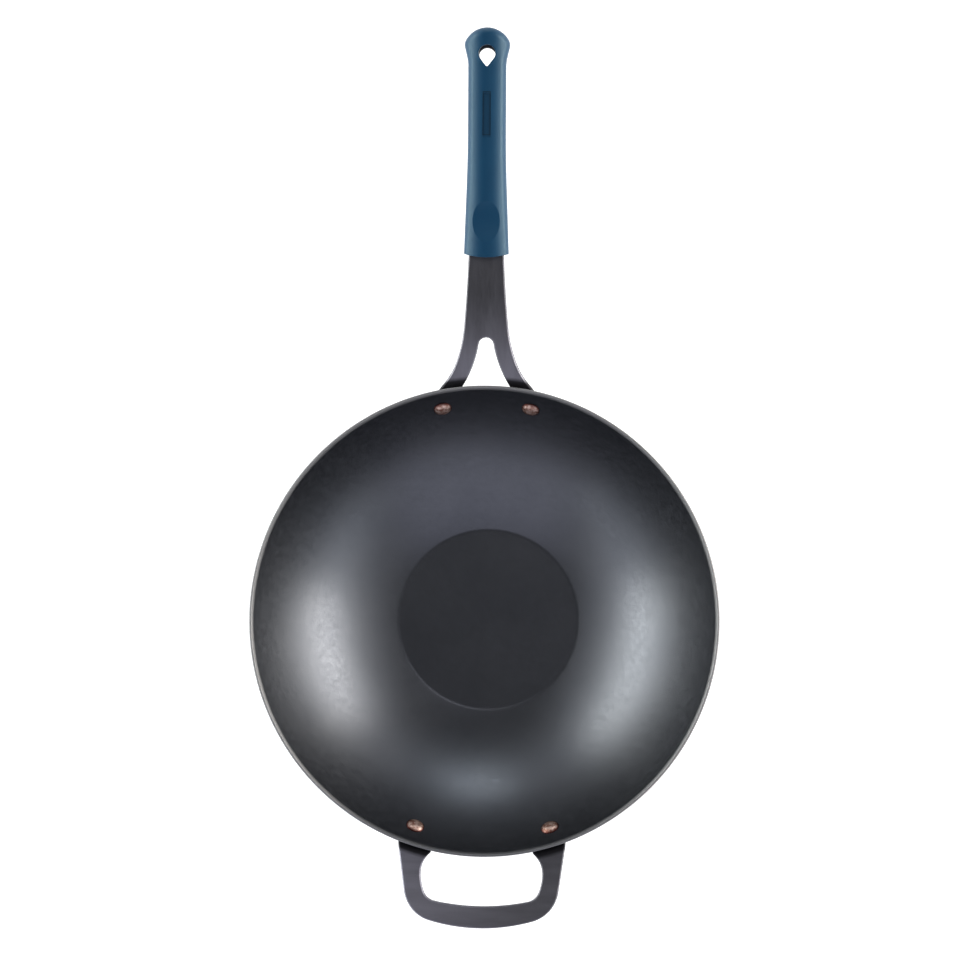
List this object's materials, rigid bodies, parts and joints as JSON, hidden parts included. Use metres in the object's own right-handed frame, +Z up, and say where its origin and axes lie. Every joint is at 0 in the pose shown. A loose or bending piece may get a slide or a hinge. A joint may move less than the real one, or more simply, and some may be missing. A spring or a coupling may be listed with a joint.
{
  "type": "wok",
  "caption": "Flat-based carbon steel wok with a forked long handle in a pull-off silicone sleeve, and a looped helper handle, both held by domed rivets.",
  "frame": {"origin": "centre of the flat base's underside", "axes": "+Z up out of the bowl, +Y along the long handle, -Y to the helper handle; the part is symmetric about X = 0"},
  "size_m": [0.3555, 0.6747, 0.143],
  "materials": {
    "carbon_steel": "dark satin, heat treated",
    "handle_steel": "dark satin",
    "silicone": "matt silicone",
    "rivet_copper": "copper coloured, lightly hammered"
  },
  "bodies": {
    "pan": {"wok_body": "carbon_steel", "long_handle": "handle_steel", "helper_handle": "handle_steel", "rivet_long_left": "rivet_copper", "rivet_long_right": "rivet_copper", "rivet_helper_left": "rivet_copper", "rivet_helper_right": "rivet_copper"},
    "sleeve": {"handle_sleeve": "silicone"}
  },
  "joints": [
    {"name": "sleeve_pull", "type": "slide", "parent": "pan", "child": "sleeve", "axis": [0, 0.9925, 0.1219], "range_m": [0, 0.18]}
  ]
}
